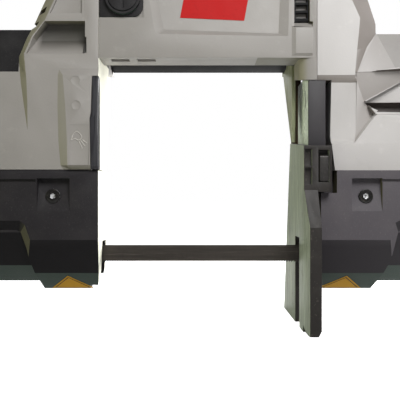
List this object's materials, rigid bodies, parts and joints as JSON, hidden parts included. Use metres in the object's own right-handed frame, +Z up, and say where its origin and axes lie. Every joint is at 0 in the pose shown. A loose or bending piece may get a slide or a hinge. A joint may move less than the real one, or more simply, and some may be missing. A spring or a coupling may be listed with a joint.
{
  "type": "portable band saw",
  "caption": "Hand-held deep-cut band saw: motor housing over an open throat, blade across the bottom, sliding work shoe, black blade guards, trigger handle and front grip.",
  "frame": {"origin": "middle of the bounding box, at the lowest point (the foot of the work shoe)", "axes": "+Z up with the blade at the bottom; +X from the idler wheel to the drive wheel; the operator's side faces -Y"},
  "size_m": [0.5436, 0.121, 0.3195],
  "materials": {
    "grey_paint": "satin warm grey",
    "pale_paint": "satin light grey",
    "cover_paint": "satin grey",
    "cast": "as cast",
    "black_plastic": "moulded, fine texture",
    "lens": "dark tinted",
    "red_plastic": "moulded",
    "rubber": "matte",
    "steel": "turned",
    "blade_steel": "dark, blued",
    "zinc": "zinc plated, worn",
    "bronze": "turned",
    "copper": "wound copper and laminations",
    "dark_steel": "blackened"
  },
  "bodies": {
    "frame": {"idler_housing": "grey_paint", "motor_housing": "grey_paint", "gear_housing": "pale_paint", "drive_wheel_guard": "cover_paint", "main_frame": "cast", "idler_wheel_guard": "black_plastic", "idler_cover_plate": "black_plastic", "return_blade_guard": "black_plastic", "fan_louvre": "black_plastic", "left_blade_guard": "black_plastic", "right_blade_guard": "black_plastic", "front_brush": "black_plastic", "rear_brush": "black_plastic", "shoe_column": "black_plastic", "front_handle_half": "black_plastic", "rear_handle_half": "black_plastic", "front_handle": "black_plastic", "work_light_lens": "lens", "cord_gland": "rubber", "front_grip": "rubber", "drive_bearing": "steel", "counter_pin": "steel", "commutator_bearing": "steel", "fan_bearing": "steel", "saw_blade": "blade_steel", "left_guide_bracket": "zinc", "right_guide_bracket": "zinc", "shoe_rail": "zinc", "left_guard_screw": "dark_steel", "right_guard_screw": "dark_steel", "stator": "dark_steel", "switch_body": "dark_steel"},
    "drive": {"drive_wheel": "cast", "drive_tyre": "rubber", "drive_shaft": "steel", "worm_wheel": "bronze"},
    "idler_carriage": {"idler_slide": "steel"},
    "idler": {"idler_wheel": "cast", "idler_tyre": "rubber", "idler_bearing": "steel"},
    "armature": {"armature_shaft": "steel", "armature_core": "copper", "commutator": "copper", "cooling_fan": "black_plastic"},
    "counter": {"counter_gear": "steel"},
    "worm": {"worm_shaft": "steel"},
    "shoe": {"work_shoe": "zinc"},
    "latch": {"shoe_latch": "dark_steel"},
    "lever": {"tension_lever": "black_plastic"},
    "trigger_body": {"trigger": "red_plastic"},
    "lock_body": {"lock_button": "black_plastic"},
    "dial": {"speed_dial": "black_plastic"},
    "left_front_roll": {"left_front_roller": "steel"},
    "left_rear_roll": {"left_rear_roller": "steel"},
    "left_thrust_roll": {"left_thrust_roller": "steel"},
    "right_front_roll": {"right_front_roller": "steel"},
    "right_rear_roll": {"right_rear_roller": "steel"},
    "right_thrust_roll": {"right_thrust_roller": "steel"}
  },
  "joints": [
    {"name": "drive_wheel_spin", "type": "hinge", "parent": "frame", "child": "drive", "pos_m": [0.1442, 0.01148, 0.1253], "axis": [0, 0.9511, -0.309], "continuous": true},
    {"name": "idler_shift", "type": "slide", "parent": "frame", "child": "idler_carriage", "axis": [1, 0, 0], "range_m": [0, 0.005]},
    {"name": "idler_wheel_spin", "type": "hinge", "parent": "idler_carriage", "child": "idler", "pos_m": [-0.1818, 0.01148, 0.1253], "axis": [0, 0.9511, -0.309], "continuous": true},
    {"name": "armature_spin", "type": "hinge", "parent": "frame", "child": "armature", "pos_m": [-0.0218, 0.0025, 0.2319], "axis": [1, 0, 0], "continuous": true},
    {"name": "counter_spin", "type": "hinge", "parent": "frame", "child": "counter", "pos_m": [0.0782, -0.00854, 0.20384], "axis": [1, 0, 0], "continuous": true},
    {"name": "worm_spin", "type": "hinge", "parent": "frame", "child": "worm", "pos_m": [0.0782, -0.00674, 0.17149], "axis": [1, 0, 0], "continuous": true},
    {"name": "left_front_roller_spin", "type": "hinge", "parent": "frame", "child": "left_front_roll", "pos_m": [-0.1088, -0.0192, 0.0515], "axis": [0, 0, 1], "continuous": true},
    {"name": "left_rear_roller_spin", "type": "hinge", "parent": "frame", "child": "left_rear_roll", "pos_m": [-0.1088, -0.0058, 0.0515], "axis": [0, 0, 1], "continuous": true},
    {"name": "left_thrust_roller_spin", "type": "hinge", "parent": "frame", "child": "left_thrust_roll", "pos_m": [-0.1088, -0.0125, 0.06415], "axis": [0, 1, 0], "continuous": true},
    {"name": "right_front_roller_spin", "type": "hinge", "parent": "frame", "child": "right_front_roll", "pos_m": [0.0772, -0.0192, 0.0515], "axis": [0, 0, 1], "continuous": true},
    {"name": "right_rear_roller_spin", "type": "hinge", "parent": "frame", "child": "right_rear_roll", "pos_m": [0.0772, -0.0058, 0.0515], "axis": [0, 0, 1], "continuous": true},
    {"name": "right_thrust_roller_spin", "type": "hinge", "parent": "frame", "child": "right_thrust_roll", "pos_m": [0.0772, -0.0125, 0.06415], "axis": [0, 1, 0], "continuous": true},
    {"name": "tension_lever_turn", "type": "hinge", "parent": "frame", "child": "lever", "pos_m": [-0.2268, -0.0375, 0.1475], "axis": [0, 1, 0], "range_deg": [0, 180]},
    {"name": "shoe_slide", "type": "slide", "parent": "frame", "child": "shoe", "axis": [0, 0, 1], "range_m": [0, 0.04]},
    {"name": "shoe_latch_press", "type": "slide", "parent": "shoe", "child": "latch", "axis": [0, 1, 0], "range_m": [0, 0.002], "stiffness_N_per_m": 500, "springref_m": -0.0005},
    {"name": "trigger_pull", "type": "slide", "parent": "frame", "child": "trigger_body", "axis": [0, 0, 1], "range_m": [0, 0.005], "stiffness_N_per_m": 1200, "springref_m": -0.001},
    {"name": "lock_press", "type": "slide", "parent": "frame", "child": "lock_body", "axis": [0, 1, 0], "range_m": [0, 0.004], "stiffness_N_per_m": 500, "springref_m": -0.0005},
    {"name": "speed_dial_turn", "type": "hinge", "parent": "frame", "child": "dial", "pos_m": [0.2162, -0.0166, 0.2475], "axis": [0, 1, 0], "range_deg": [0, 270]}
  ],
  "couplings": [
    {"joint": "idler_wheel_spin", "follows": "drive_wheel_spin", "ratio": 1},
    {"joint": "worm_spin", "follows": "drive_wheel_spin", "ratio": 20},
    {"joint": "counter_spin", "follows": "drive_wheel_spin", "ratio": -11.852},
    {"joint": "armature_spin", "follows": "drive_wheel_spin", "ratio": 24.615},
    {"joint": "left_front_roller_spin", "follows": "drive_wheel_spin", "ratio": 12.933},
    {"joint": "left_rear_roller_spin", "follows": "drive_wheel_spin", "ratio": -12.933},
    {"joint": "left_thrust_roller_spin", "follows": "drive_wheel_spin", "ratio": 12.933},
    {"joint": "right_front_roller_spin", "follows": "drive_wheel_spin", "ratio": 12.933},
    {"joint": "right_rear_roller_spin", "follows": "drive_wheel_spin", "ratio": -12.933},
    {"joint": "right_thrust_roller_spin", "follows": "drive_wheel_spin", "ratio": 12.933},
    {"joint": "tension_lever_turn", "follows": "idler_shift", "rad_per_m": 628}
  ]
}
